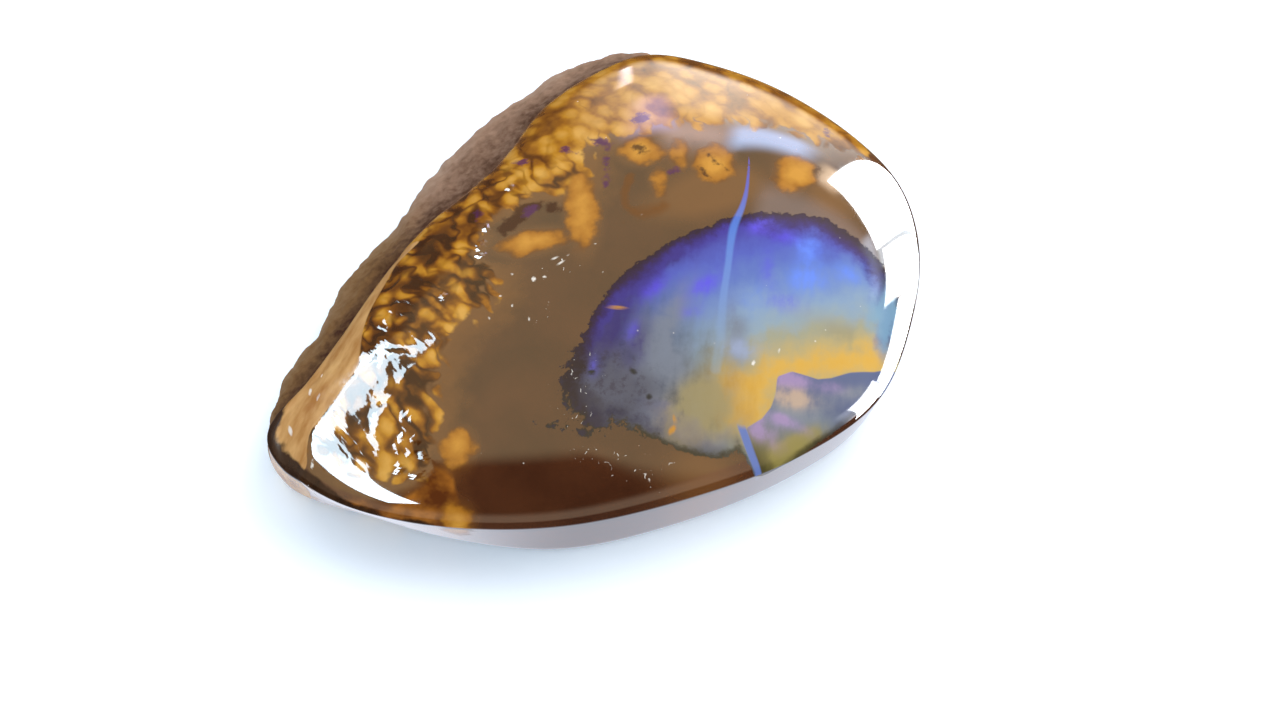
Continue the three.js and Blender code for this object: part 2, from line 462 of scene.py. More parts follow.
carving = bpy.data.node_groups.new("carving", "GeometryNodeTree")
carving.interface.new_socket("Geometry", in_out="INPUT", socket_type="NodeSocketGeometry")
carving.interface.new_socket("Geometry", in_out="OUTPUT", socket_type="NodeSocketGeometry")
add = partial(put, carving)
start = add("NodeGroupInput")
where = add("GeometryNodeInputPosition")
outward = add("GeometryNodeInputNormal")
in_mm = add("vector_scale", where, 1 / MM)

up, swirls = draw_nuts(add, in_mm)
waves = add("step", up, 0, 0.2)
nut_lift = add("times", add("times", waves, "relief"), NUT_RELIEF * MM)
crags = add("noise", in_mm, 1 / 0.8, 5, 0.6)
crag_lift = add("step", crags, 0.3, 0.7, -SKIN_RELIEF * MM, 0)
skin_share = add("step", "skin", 0, 0.8)
deep_share = add("step", "depth", 0, 0.4)
low_share = add("step", "depth", 2, 2.9, 1, 0)
rough_share = add("times", skin_share, add("times", deep_share, low_share))
skin_lift = add("times", crag_lift, rough_share)
lift = add("plus", nut_lift, skin_lift)
offset = add("vector_scale", outward, lift)

slope = add("times", "ochre", BEVEL_SLOPE)
drop = add("smaller", add("larger", slope, 0), BEVEL_DROP)
standing = add("range", "depth", 0, GIRDLE_HEIGHT / MM, -MM, 0)
fall = add("ShaderNodeCombineXYZ", named={"Z": add("times", drop, standing)})
offset = add("vector_plus", offset, fall)
carved = add("GeometryNodeSetPosition", named={"Geometry": start, "Offset": offset})
add("NodeGroupOutput", carved)

only(stone)
carver = stone.modifiers.new("carving", "NODES")
carver.node_group = carving
bpy.ops.object.modifier_apply(modifier=carver.name)
print("carved stone has", len(stone.data.polygons), "faces")

# %% [markdown]
# ## The polished stone
# One finish covers the face and the cut wall below it: ironstone, which takes a mirror
# polish, with the opal and the nuts in it. Ironstone bends light more than opal does and
# so shines more. A clear coat over the ironstone alone gives that.

# %% Start the polished finish
def new_finish(name):
    """An empty material, what adds nodes to it, and the place on the stone in millimetres."""
    material = bpy.data.materials.new(name)
    material.use_nodes = True
    material.node_tree.nodes.clear()
    add = partial(put, material.node_tree)
    place = add("ShaderNodeTexCoord").outputs["Object"]
    return material, add, add("vector_scale", place, 1 / MM)


def tell(made, owner):
    """Say what was made, and how many nodes the finish or the room then has."""
    print(f"{made}: {len(owner.node_tree.nodes)} nodes in {owner.name}")


polished, add, place = new_finish("polished_ironstone_and_opal")

# %% [markdown]
# ### Ironstone
# Red-brown and nearly even, with slow clouds and a fine grain. Close to the nuts it glows
# amber, because the golden opal runs on under a thin skin of stone there.

# %% Where the nuts lie
NUT_BAND = [
    (-9.2, -5.9), (-8.4, -6.2), (-7.7, -5.6), (-7.4, -4.9), (-7, -3.8), (-6.3, -2.6),
    (-5.6, -1.7), (-4.8, -1.3), (-3.9, -1.2), (-3.2, -0.7), (-2.8, 0.1), (-2.6, 0.9),
    (-2.7, 1.8), (-1.9, 2.5), (-0.9, 2.8), (0.1, 2.6), (1, 2.3), (1.8, 2.1), (2.3, 2.9),
    (2.6, 3.8), (3.4, 4), (4.6, 3.7), (5.9, 3.3), (7, 2.8), (8.4, 2.3), (9.7, 1.5), (10.6, 0.7),
    (12.4, 0), (14, 3.5), (10.5, 8), (8, 10.5), (2, 10.5), (-4, 8), (-9, 5), (-12.5, 2),
    (-12.5, -1.5), (-11.2, -4.6),
]
# Where the nuts are pale and whole, above 0, and where iron fills the gaps, below 0.
NUT_TONES = [
    (1.6, 4.6, 1.6, 1, 16, 0.35), (1.6, 2.4, 1.1, 0.4, 64, 0.4), (0.1, 4, 0.9, 0.5, 0, 0.35),
    (-4.8, 0, 1.2, 0.6, 64, 0.4), (-3.5, 0.7, 0.5, 0.35, -11, 0.3),
    (-7.2, -0.7, 0.5, 0.4, 64, 0.4), (-6.1, -1.5, 0.5, 0.3, 64, 0.3),
    (-9.2, -3.9, 0.7, 0.5, -80, 0.65), (-10.2, -3.6, 0.7, 0.3, -82, 0.35),
    (-9.3, -5, 0.5, 0.5, 0, 0.5), (-6.2, 1, 1, 0.8, -26, -0.1), (-8.6, -2, 1.1, 0.4, 64, -0.3),
    (-7.5, -3.4, 0.7, 0.35, -26, -0.3), (-0.5, 2.3, 0.8, 0.35, 0, -1.2),
    (-1.9, 2.3, 0.5, 0.4, -26, -0.9), (-2.6, 1.2, 0.7, 0.5, -26, -1),
    (-3.4, 3.2, 1, 0.5, 40, -0.35), (-8.2, -5.4, 0.6, 0.3, 64, -0.8),
    (-3.7, 0, 0.6, 0.22, 40, -0.6), (6, 6, 3, 1.2, -40, 0.25), (10.5, 2, 1.5, 0.9, -50, 0.3),
    (-4.8, 2.6, 1.6, 0.75, 31, -0.35), (-2.4, 3.7, 1.3, 0.55, 29, -0.15),
    (-6.4, 1.2, 0.9, 0.6, 45, -0.3), (-5, -0.6, 0.8, 0.6, 8, 0.35), (0.6, 4, 1.4, 0.9, 12, 0.3),
    (3.5, 5, 1.5, 0.9, 12, 0.2), (4.4, 4, 1.2, 0.7, 0, 0.2),
]
NUT_LUMPS = [
    (4.3, 3, 0.75, 0.62, -26), (5.5, 2.2, 0.5, 0.26, 64), (6.4, 1.2, 0.85, 0.7, 64),
    (4.15, 1.2, 0.42, 0.2, 64), (9.1, -0.3, 0.85, 0.66, 30), (-1.2, 1, 1.05, 0.5, -16),
    (1.1, 1.5, 1.6, 0.52, 66), (-7.25, -5.5, 0.62, 0.5, 64), (-8.4, -7.6, 0.58, 0.52, -26),
]
# Where the golden opal under the stone lends it an amber glow.
AMBER_GLOW = [
    (4.8, 0.1, 1.9, 1.1, -12), (6.6, 0.2, 1.3, 1, -26), (9.8, -1.8, 1.2, 0.7, -60),
    (0.4, -9.9, 1.5, 1.1, -26, 0.9),
]

mark(nuts=inside_by(NUT_BAND, plan), nut_tones=soft_spots(NUT_TONES, plan),
     lumps=within_lumps(NUT_LUMPS, plan), amber_glow=soft_spots(AMBER_GLOW, plan))

# %% Ironstone
clouds = add("noise", place, 1 / 2.8, 4)
grain = add("noise", place, 1 / 0.12, 2)
mottle = add("times_plus", grain, 0.2, clouds)
iron = add("ramp", mottle, stops=[(0.35, "#35180a"), (0.9, "#512c16")])
ragged = add("noise", place, 1 / 0.7, 3)
nut_depth = add("minus", add("times_plus", ragged, 1.2, "nuts"), 0.6)
nut_depth = add("times_plus", add("smaller", "nut_tones", 0), 1.2, nut_depth)
near_lump = add("step", "lumps", -0.5, 0.1, 0, 0.5)
glow = add("larger", add("step", nut_depth, -1.3, 0.3, 0, 0.6), near_lump)
glow = add("larger", add("step", "amber_glow", 0, 1, 0, 0.6), glow)
colour = add("lay", glow, iron, "#74481f")
tell("ironstone", polished)

# %% [markdown]
# ### Golden nuts
# Pale gold where a nut is whole, orange-brown towards its seam, and dark iron in the seam.
# Towards the far rim the seams grow faint. Where the band ends, only the middles of the
# nuts remain, as lumps in the ironstone. Here and there a speck of them is violet opal.

# %% Spots and a loop among the nuts
# A thin loop of gold round a patch of bare ironstone.
GOLD_LOOP = [
    (3.4, 2.1, 0.16), (2.8, 1.4, 0.16), (2.6, 0.7, 0.18), (3.1, 0.2, 0.3), (3.8, 0.25, 0.24),
]
# Bare iron within the lumps and between the nuts.
IRON_SPOTS = [
    (4.3, 3.15, 0.32, 0.26, -26), (9.85, -0.45, 0.42, 0.22, 64), (5.9, 0.9, 0.6, 0.1, -77),
    (6.5, 1.5, 0.6, 0.1, -77), (0.15, 2.2, 0.45, 0.26, -54), (-1.45, 2.3, 0.8, 0.4, 20),
    (-0.6, 2.6, 0.7, 0.34, -16),
]
VIOLET_SPOTS = [
    (-0.6, 2.45, 0.32, 0.25, 8), (-2.3, 3.5, 0.3, 0.14, 64), (0.3, 5, 0.34, 0.16, -52),
    (1.9, 4.5, 0.32, 0.14, -69), (3.2, 4.2, 0.36, 0.24, -48), (2.8, 3, 0.85, 0.13, 64),
    (4.9, 1.5, 0.22, 0.2, 0), (11.3, 1.4, 0.3, 0.14, 64), (5, 4.6, 0.4, 0.25, -26),
]

mark(loop=within_line(GOLD_LOOP, plan), iron_spots=within_lumps(IRON_SPOTS, plan),
     violet=within_lumps(VIOLET_SPOTS, plan))

# %% Golden nuts
up, swirls = draw_nuts(add, place)
far = add("step", "down", -6.5, -3.5, 0.2, 1)
rise = add("times", add("step", up, 0, 0.14, -0.2, 0.05), far)
humps = add("soft_cells", stretched(add, place, NUT_TURN, 0.7), 1.6, named={"Smoothness": 0.4})
valley = add("step", "down", -7, -4, -0.18, -0.28)
hump = add("step", humps, 0.1, 0.75, 0.2, valley)
fine = add("noise", place, 1 / 0.25, 2)
tone = add("times_plus", swirls, 0.8, add("plus", rise, hump))
tone = add("times_plus", fine, 0.2, add("plus", tone, 0.1))
tone = add("plus", tone, add("times", "nut_tones", 0.45))
gold = add("ramp", tone, stops=[
    (0.1, "#38200e"), (1, "#c99846"), (0.3, "#64390f"), (0.48, "#8f5a15"), (0.66, "#b27c22"),
])
seam_strength = add("times", add("step", swirls, 0.44, 0.6, 0.75, 0.2), far)
seam_strength = add("times", seam_strength, add("step", "nut_tones", 0, 0.4, 1, 0.4))
breaks = add("noise", place, 1 / 0.5, 1)
seam_width = add("larger", add("times_plus", breaks, 0.7, -0.22), 0.03)
seam_run = add("over", up, seam_width)
seam_share = add("times", add("step", seam_run, 0, 1, 1, 0), seam_strength)
nut_colour = add("lay", seam_share, gold, "#3a1c09")
tell("nuts and seams", polished)

# %% Edge of the nuts, lumps and loop
nut_edge = add("times_plus", up, 3, nut_depth)
nut_share = add("step", nut_edge, 0.35, 0.75)
lump_edge = add("minus", add("times_plus", ragged, 0.8, "lumps"), 0.2)
lump_share = add("step", lump_edge, -0.02, 0.26)
loop_share = add("step", add("times_plus", ragged, 2, "loop"), 0.5, 1.9, 0, 0.75)
soft_share = add("larger", lump_share, loop_share)
lump_tone = add("times_plus", hump, 0.35, lump_edge)
lump_colour = add("ramp", lump_tone, stops=[
    (0, "#663a10"), (0.65, "#bf8733"), (0.25, "#a0681f"),
])
colour = add("lay", nut_share, colour, nut_colour)
colour = add("lay", soft_share, colour, lump_colour)
gold_share = add("larger", nut_share, soft_share)
tell("lumps and loop", polished)

# %% Iron and violet spots
crinkle = add("minus", add("noise", place, 1 / 0.4, 4, 0.65), 0.5)
iron_edge = add("times_plus", crinkle, 0.8, "iron_spots")
iron_share = add("step", iron_edge, -0.04, 0.16, 0, 0.85)
colour = add("lay", iron_share, colour, "#38180d")
violet_edge = add("times_plus", crinkle, 0.7, "violet")
violet_share = add("step", violet_edge, -0.06, 0.12, 0, 0.85)
colour = add("lay", violet_share, colour, "#4a1d4d")
spot_share = add("larger", iron_share, violet_share)
tell("spots", polished)

# %% [markdown]
# ### The ochre strip, the amber patch and the rind
# Along the flank the cut left a bevel of soft ochre ironstone, and near the tip a patch
# of see-through amber stone. Round the tip the natural dark rind still shows, and along the
# lower left the same dark band is also a painted dark reflection in the polish.

# %% Ochre, amber and rind
AMBER_PATCH = [
    (-11.5, -4.9), (-10.6, -5.75), (-9.8, -6), (-9, -6), (-8.3, -5.7), (-7.9, -6.3), (-8, -7),
    (-8.2, -8), (-9.5, -8.5), (-11.5, -7.2), (-12.4, -5.6),
]
# Natural rind that shows round the tip, along the lower left also a painted dark
# reflection: the third number is its half width.
RIND_AND_DARK_REFLECTION = [
    (-10.6, 1, 0.2), (-11.8, 0.3, 0.4), (-12.7, -0.4, 0.5), (-13.1, -1.3, 0.55),
    (-12.9, -2.8, 0.45), (-12.1, -4.6, 0.4), (-10.9, -6.1, 0.36), (-9.8, -6.9, 0.3),
    (-8.9, -7.4, 0.15),
]

mark(amber=inside_by(AMBER_PATCH, plan), rind=within_line(RIND_AND_DARK_REFLECTION, plan))
amber_mottle = add("noise", place, 1 / 0.9, 3)
amber = add("ramp", amber_mottle, stops=[(0.35, "#55290b"), (0.65, "#9c5f1e")])
amber_edge = add("times_plus", ragged, 0.3, "amber")
bare = add("minus", 1, lump_share)
colour = add("lay", add("times", add("step", amber_edge, 0.05, 0.3), bare), colour, amber)
ochre_mottle = add("noise", stretched(add, place, 40, 0.35), 1 / 0.5, 4)
ochre = add("ramp", ochre_mottle, stops=[(0.3, "#9c6931"), (0.7, "#cea266")])
ochre_share = add("step", "ochre", 0, 0.06)
colour = add("lay", ochre_share, colour, ochre)
rind_and_reflection_edge = add("times_plus", ragged, 1, "rind")
rind_and_reflection_share = add("times", add("step", rind_and_reflection_edge, 0.45, 0.75),
                 add("step", "depth", 0.05, 0.25, 1, 0))
# Dark rind colour, at the lower left also standing for a painted dark reflection.
rind = add("ramp", ochre_mottle, stops=[(0.3, "#231207"), (0.75, "#3e2614")])
colour = add("lay", rind_and_reflection_share, colour, rind)
tell("ochre, amber and rind", polished)

# %% [markdown]
# ### Play of colour
# Precious opal is a stack of tiny glass balls, whose size sets the colour that it sends
# back. Here the hue runs from a golden band through pale green-grey and blue to violet,
# with the distance from the band. Flashes of purer violet and azure lie in it, and at the
# left end the opal is thin over dark stone, so it is dull there.

# %% Where the colours lie in the opal
GOLD_BAND = [
    (2.7, -8.6), (3.1, -8.3), (3.9, -7.9), (4.9, -7.6), (6.1, -7.9), (7.4, -8.15), (8.6, -8.3),
]
# Where the gold widens, at the near end of its band.
GOLD_LOBE = (2.95, -8.1, 0.6, 0.55, -26)
# Other colours in the opal, as soft ovals: place, half length, half width, turn, strength.
OPAL_TINTS = {
    "grey_streak": ("#6e7480", [
        (1.9, -4.4, 1.9, 0.5, 40), (1, -6.1, 0.8, 0.8, 0), (3.8, -5.8, 1.3, 0.5, 64),
        (0.5, -4.9, 1.3, 0.9, 54, 0.8), (-0.2, -7.4, 1, 0.7, -56),
    ]),
    "indigo": ("#2c1f5e", [
        (0.9, -2.6, 1.6, 0.8, 25, 1.4), (3.1, -1.8, 1.5, 0.5, 5, 1.3),
        (-0.6, -3.7, 1.1, 0.9, 50, 1.3), (9.6, -3.3, 1.2, 0.5, -68, 1.5),
        (-1.6, -4.6, 0.8, 0.6, 50), (-0.1, -5.2, 0.8, 0.5, 50, 0.6),
        (0.7, -4.5, 0.8, 0.4, 50, 0.5),
    ]),
    "slate": ("#4d4d58", [
        (-1.4, -5, 1, 0.9, 0), (-2.2, -6, 1, 0.7, -26), (-0.5, -6.4, 1, 0.8, 0),
    ]),
    "violet_flash": ("#5548d2", [
        (6.8, -2.1, 0.6, 0.4, 0, 1.1), (7.5, -2.9, 0.6, 0.4, -26, 1),
        (3.6, -3.6, 0.9, 0.4, 12, 0.8), (2.7, -4.4, 0.5, 0.35, 0, 0.5),
        (1.9, -2.9, 0.9, 0.4, 26, 0.7), (6.1, -5.4, 0.7, 0.4, -26, 0.6),
        (6.1, -3.9, 1, 0.35, 64, 0.5), (0.3, -4.2, 0.6, 0.3, 40, 0.5),
        (-1.5, -4.9, 0.5, 0.3, 60, 0.5),
    ]),
    "azure_flash": ("#5f84e6", [
        (7.3, -4.7, 0.8, 0.7, 0, 0.8), (8, -3.4, 0.7, 0.6, 64, 0.9),
        (8.9, -2.8, 0.5, 0.4, 0, 0.7), (8.9, -5, 0.6, 0.5, -60, 0.6),
        (5, -4.8, 0.8, 0.5, 20, 0.4),
    ]),
    "khaki": ("#8f815a", [
        (0.8, -8.3, 1.2, 0.9, -10, 1.6), (1.6, -7.6, 0.9, 0.8, -26, 1.3),
        (7.4, -6.9, 1.6, 0.6, -45, 0.6),
    ]),
    "pale_blue": ("#8e99b4", [(3.7, -6.4, 0.9, 0.5, -26, 0.8)]),
    "olive_rim": ("#4f4a34", [
        (0.6, -9.4, 1.4, 0.35, -20, 1.5), (-0.8, -8.4, 1.2, 0.3, -56, 1.5),
    ]),
    "plum_corner": ("#2e2226", [
        (2.1, -9.5, 0.4, 0.2, 80, 0.7), (-2.9, -5.6, 1, 0.4, 90, 1.5),
        (-3.2, -6.6, 1.2, 0.7, -26, 1.5), (-1.9, -4.2, 0.9, 0.3, 50),
    ]),
}

# %% Where the slipped block lies
# The near corner of the opal is a block that slipped along a crack, with other colours.
SLIPPED_BLOCK = [
    (2.6, -9.1), (3.3, -9), (3.8, -8.75), (4.15, -8.4), (4.5, -7.85), (5.1, -7.85), (5.9, -8.4),
    (6.4, -8.5), (7.2, -8.5), (8.1, -8.65), (9.5, -8.6), (11.5, -9), (9, -12.5), (2.5, -12.5),
    (2.45, -10.4),
]
BLOCK_TINTS = {
    "olive": ("#8d7f42", [(3.8, -10.2, 1, 0.45, 0, 1.3), (4.9, -10, 0.7, 0.3, 0)]),
    "haze": ("#7d8087", [(4.6, -9, 1.2, 0.7, -20), (7, -9.2, 1.2, 0.3, -5, 0.8)]),
    "lavender": ("#9a82a8", [
        (4.9, -8.1, 0.65, 0.4, -26, 1.3), (3.1, -9.2, 0.8, 0.45, -50, 1.2),
        (4.1, -9.35, 0.8, 0.2, -38, 1.2), (6.2, -8.8, 0.6, 0.25, -20, 0.7),
    ]),
    "peach": ("#b59b84", [(4.7, -8.7, 0.75, 0.36, -26, 1.4)]),
    "shadow": ("#2f2a1c", [
        (5.6, -10.3, 1.3, 0.3, 8), (2.9, -10.6, 0.6, 0.2, 0), (7.2, -9.7, 0.9, 0.2, 10),
    ]),
}
RIM_TINTS = {
    "teal_rim": ("#7094ac", [(9.6, -6.9, 1.3, 0.4, 63, 1.4), (9, -7, 1, 0.5, 63, 0.5)]),
}

band_gap, _ = distance_along(curve_through(GOLD_BAND, False), plan)
lobe_gap = np.clip(across_oval(GOLD_LOBE, plan) - 1, 0, None) * GOLD_LOBE[3]
mark(from_gold=np.minimum(band_gap, lobe_gap),
     slipped=inside_by(SLIPPED_BLOCK, plan, smooth=False))
for name, (code, spots) in (OPAL_TINTS | BLOCK_TINTS | RIM_TINTS).items():
    mark(**{name: soft_spots(spots, plan)})

# %% Play of colour
def tinted(add, colour, tints, grain):
    """Lay soft clouds of other colours over one, their edges broken up by a grain."""
    for name, (code, spots) in tints.items():
        cloud = add("times", name, grain)
        colour = add("lay", add("step", cloud, 0, 1.2, 0, 0.85), colour, code)
    return colour


flecks = add("noise", place, 1 / 0.9, 4, 0.6)
columns = add("noise", stretched(add, place, 58, 0.3), 1 / 0.4, 3)
grain = add("times_plus", flecks, 2.2, add("times_plus", columns, 1.4, -0.8))
hue_run = add("times_plus", columns, 0.6, add("times_plus", flecks, 1.2, "from_gold"))
hue = add("range", add("minus", hue_run, 0.55), 0, 8)
play = add("ramp", hue, stops=[
    (0, "#c9993a"), (1, "#3c2690"), (0.06, "#c59c4a"), (0.12, "#ab9868"), (0.19, "#93927c"),
    (0.26, "#8596a0"), (0.33, "#7b92ac"), (0.42, "#6a82ae"), (0.53, "#566cac"),
    (0.64, "#4a57aa"), (0.8, "#382e86"),
])
left_end = add("distance", place, (-1.9, -6.1, 5))
dim_run = add("times_plus", columns, 2, left_end)
dim = add("step", dim_run, 2.6, 7.6, 0.95, 0)
dull_colour = add("ramp", flecks, stops=[(0.35, "#2a2638"), (0.65, "#5a5c66")])
opal = add("lay", dim, play, dull_colour)
opal = tinted(add, opal, OPAL_TINTS, grain)
tell("play of colour", polished)

# %% Colours of the slipped block
block_down = add("times_plus", flecks, 0.8, "down")
block_run = add("range", block_down, 5.4, 8.4)
block_colour = add("ramp", block_run, stops=[
    (0, "#565f7e"), (1, "#38321c"), (0.3, "#525a76"), (0.5, "#67717d"), (0.8, "#6d6848"),
])
block_colour = tinted(add, block_colour, BLOCK_TINTS, grain)
block_share = add("step", "slipped", -0.02, 0.04)
opal = add("lay", block_share, opal, block_colour)
tell("slipped block", polished)

# %% [markdown]
# ### Veins and the edge of the opal
# A thin vein of blue opal cuts through everything. Round the opal lies a margin that runs
# from indigo to near black, widest on the far side, and its edge is finely torn. The dull
# end is more ragged, with pits and a few crumbs of opal that drifted off.

# %% Where the opal and its veins lie
OPAL = [
    (6.5, -1.4), (7.8, -1.8), (9, -2.4), (9.9, -3.6), (10.4, -4.9), (10.4, -6.3), (9.8, -7.6),
    (9.2, -8.6), (8.4, -9.2), (7.4, -9.6), (6.3, -9.95), (5.2, -10.2), (4.3, -10.35),
    (3.6, -10.5), (2.6, -10.7), (2.2, -10.1), (2.05, -9.7), (1.4, -9.7), (0.8, -9.5),
    (0.2, -9.1), (-0.5, -8.5), (-1.3, -7.7), (-1.7, -7.2), (-2.2, -7.3), (-2.7, -7),
    (-2.9, -6.2), (-3.1, -5.6), (-2.85, -4.9), (-2.2, -4.25), (-1.6, -3.8), (-0.8, -3.1),
    (0.3, -2.3), (1.3, -1.8), (2.6, -1.5), (3.9, -1.3), (5.2, -1.3),
]
DRIFTED_CRUMBS = [
    (-3.9, -6.3, 0.3, 0.09, -26), (-3.4, -6.5, 0.28, 0.12, -26), (-2.7, -7.1, 0.4, 0.18, -26),
]
# The third number of a line's points is its half width.
BLUE_VEIN = [
    (7.9, 1.2, 0.03), (7.1, -0.2, 0.08), (6.5, -1, 0.13), (5.8, -1.7, 0.19), (5.3, -2.4, 0.17),
    (4.8, -3.2, 0.16), (4, -4.4, 0.18), (3.2, -5.8, 0.22), (2.5, -6.8, 0.24),
]
LOWER_VEIN = [(2.5, -8.6, 0.15), (2.45, -9.4, 0.17), (2.45, -10, 0.16), (2.55, -10.8, 0.13)]
PITS = [(-0.2, -6.8, 0.15, 0.14, 0), (-0.3, -5.7, 0.2, 0.13, -58), (-1.7, -5.1, 0.2, 0.14, -26)]
GOLD_SPOTS = [
    (0.3, -3.1, 0.4, 0.09, -30), (0.05, -8.2, 0.24, 0.12, 30), (0.3, -7.9, 0.2, 0.08, 80),
]

all_opal = np.maximum(inside_by(OPAL, plan), within_lumps(DRIFTED_CRUMBS, plan))
mark(opal=all_opal - below_girdle, vein=within_line(BLUE_VEIN, plan),
     lower_vein=within_line(LOWER_VEIN, plan) - below_girdle,
     pits=within_lumps(PITS, plan), gold_spots=within_lumps(GOLD_SPOTS, plan))

# %% The blue vein
vein_run = add("range", add("split_place", place).outputs["Y"], 1.2, -6.5)
vein_colour = add("ramp", vein_run, stops=[
    (0, "#46389a"), (1, "#8096a8"), (0.2, "#4a52b4"), (0.38, "#4b72c0"), (0.7, "#6e8cc0"),
])
vein_strength = add("step", vein_run, 0.4, 1, 0.95, 0.3)
vein_share = add("times", add("step", "vein", -0.1, 0.6), vein_strength)
tell("vein", polished)

# %% The torn edge of the opal and its margin
dull_end = add("distance", place, (-2.2, -6, 5))
dull = add("step", dull_end, 1.2, 3.5, 1, 0)
torn = add("minus", add("noise", place, 1 / 0.3, 4, 0.7), 0.5)
torn_reach = add("times_plus", dull, 1, add("step", "down", 6.6, 7.6, 0.65, 0.45))
torn_reach = add("times", torn_reach, add("step", "slipped", -0.5, 0, 1, 0.2))
opal_depth = add("times_plus", torn, torn_reach, "opal")
wander = add("noise", place, 1 / 2.2, 2)
margin_width = add("times_plus", wander, 3.6, -0.7)
margin_run = add("over", opal_depth, add("larger", margin_width, 0.3))
margin = add("step", margin_run, 0.35, 1.25, 1, 0)
margin_colour = add("ramp", margin_run, stops=[
    (0, "#24141f"), (1, "#3d3496"), (0.2, "#2a193a"), (0.5, "#2e2063"),
])
margin_colour = add("lay", dull, margin_colour, "#2b2024")
margin_fade = add("step", "slipped", -1.2, 0, 1, 0)
far_side = add("step", "down", 5.4, 7, 1, 0.3)
margin_share = add("times", margin, add("times", margin_fade, far_side))
opal = add("lay", margin_share, opal, margin_colour)
opal = tinted(add, opal, RIM_TINTS, grain)
tell("margin", polished)

# %% Outline, clots, pits and the opal laid into the stone
line_width = add("step", "slipped", -0.5, 0, 0.3, 0.2)
near_line = add("times", add("step", opal_depth, 0.05, line_width, 0.8, 0),
                add("step", "down", 5.4, 7))
opal = add("lay", near_line, opal, "#332c1e")
clots = add("step", add("noise", place, 1 / 0.3, 4, 0.65), 0.5, 0.68, 0, 0.6)
clots = add("times", clots, dull)
opal = add("lay", clots, opal, "#332c3a")
opal = add("lay", add("step", "pits", -0.02, 0.08), opal, "#2a2a2c")
opal = add("lay", add("step", "gold_spots", -0.03, 0.08), opal, "#b8802c")
opal_share = add("step", opal_depth, 0, 0.05)
colour = add("lay", opal_share, colour, opal)
colour = add("lay", vein_share, colour, vein_colour)
lower_share = add("times", add("step", "lower_vein", -0.1, 0.4),
                  add("step", "from_gold", 0.35, 0.6))
colour = add("lay", lower_share, colour, "#5f70a6")
tell("opal in the stone", polished)

# %% [markdown]
# ### Lint and painted glints
# Specks of lint lie on the polish, as they do on any stone that was handled: a few larger
# ones, and many fine ones near the edge of the opal and along the near rim. A few pale
# specks on the ochre strip by the tip are painted glints.

# %% Lint and painted glints
# Specks of lint; the last five, on the ochre strip by the tip, are painted glints.
LINT_AND_GLINTS = [
    (-0.8, -0.1, 0.19, 0.06, 0), (-0.7, -0.4, 0.22, 0.06, 10), (-0.3, -0.2, 0.1, 0.05, 0),
    (-1.5, -0.7, 0.09, 0.08, 0), (-1.9, -0.6, 0.14, 0.1, 70), (-2.5, 0, 0.08, 0.06, 64),
    (-4.1, -1.4, 0.1, 0.06, 64), (-3.3, -0.7, 0.07, 0.06, 0), (0.8, -0.2, 0.07, 0.05, -26),
    (0.5, -1.5, 0.06, 0.05, 0), (-3.1, -1.3, 0.08, 0.06, 64), (-2.8, -2.1, 0.12, 0.05, 64),
    (2.9, 0.2, 0.11, 0.06, -26), (3.9, -7.1, 0.14, 0.08, 45), (5, -7, 0.12, 0.06, 50),
    (-10.9, -0.35, 0.26, 0.07, 64), (-10.8, -0.9, 0.2, 0.06, 50), (-12.2, -1.45, 0.28, 0.08, 80),
    (-12.1, -3.2, 0.22, 0.07, 60), (-10.2, 0.2, 0.16, 0.05, 64),
]
# Where fine dust gathered.
DUSTY = [
    (-2.4, -5.4, 1.5, 1, 64, 1.2), (-0.8, -0.5, 1.1, 0.6, 1), (-1.6, -8.9, 2.6, 0.6, -32),
    (-2.3, -2.3, 1, 0.8, 0, 0.5),
]

mark(lint=within_lumps(LINT_AND_GLINTS, plan), dusty=soft_spots(DUSTY, plan))
specks = add("cells", place, 1.7)
chance = add("split_colour", specks.outputs["Color"])
speck_size = add("range", chance.outputs["Red"], 0.6, 1, 0, 0.1)
fine_lint = add("range", specks, speck_size, 0)
dusty = add("step", add("noise", place, 1 / 4), 0.4, 0.55)
speck_and_glint_share = add("times", fine_lint, dusty)
drift = add("noise", place, 1 / 0.6).outputs["Color"]
scattered = add("vector_times_plus", drift, (1.5, 1.5, 0), place)
dust = add("flat_cells", stretched(add, scattered, -26, 0.5), 5)
dust_chance = add("split_colour", dust.outputs["Color"])
dust_chance = add("step", dust_chance.outputs["Red"], 0.5, 1, 0, 0.2)
dust_size = add("times", add("step", "dusty", 0.2, 0.8), dust_chance)
dust_share = add("range", dust, dust_size, 0)
speck_and_glint_share = add("larger", speck_and_glint_share, dust_share)
speck_and_glint_share = add("larger", speck_and_glint_share, add("step", "lint", -0.01, 0.04, 0, 0.8))
# Pale specks: lint and dust, and the painted glints on the ochre strip.
colour = add("lay", speck_and_glint_share, colour, "#dcd6cc")
tell("lint", polished)

# %% [markdown]
# ### Girdle and ripples
# A thin dark line painted along the girdle stands in for the shade where the face bends
# over into the wall. Over the nuts the polish is finely rippled, too finely for the mesh, so
# a bump map carries the ripples. They tear the edge of a mirrored window and scatter small
# glints.

# %% Girdle and ripples
# Small bumps that the polish left, each of which mirrors a window as a glint.
BUMPS = [
    (-0.7, 4.1, 0.24, 0.2, 64), (-2.9, 1.9, 0.3, 0.16, 40), (-2.35, 2.6, 0.26, 0.12, 64),
    (-3.1, 1.45, 0.2, 0.14, -26), (-5.1, 0.45, 0.2, 0.14, 64), (-8.5, -3.5, 0.22, 0.15, 0),
    (-8.35, -3.85, 0.2, 0.14, -60), (-8.5, -4.5, 0.24, 0.16, 0), (-8.9, -4.2, 0.2, 0.14, 40),
    (-8.8, -4.8, 0.26, 0.16, 20), (-8.5, -5.15, 0.2, 0.14, -50), (-9.45, -5.1, 0.24, 0.14, 60),
    (-9, -5.6, 0.24, 0.14, -20), (-9.25, -4.5, 0.18, 0.13, 64),
]
RIPPLES_END = 3.0  # mm right of the middle
RIPPLE_DEPTH = 0.03 * MM

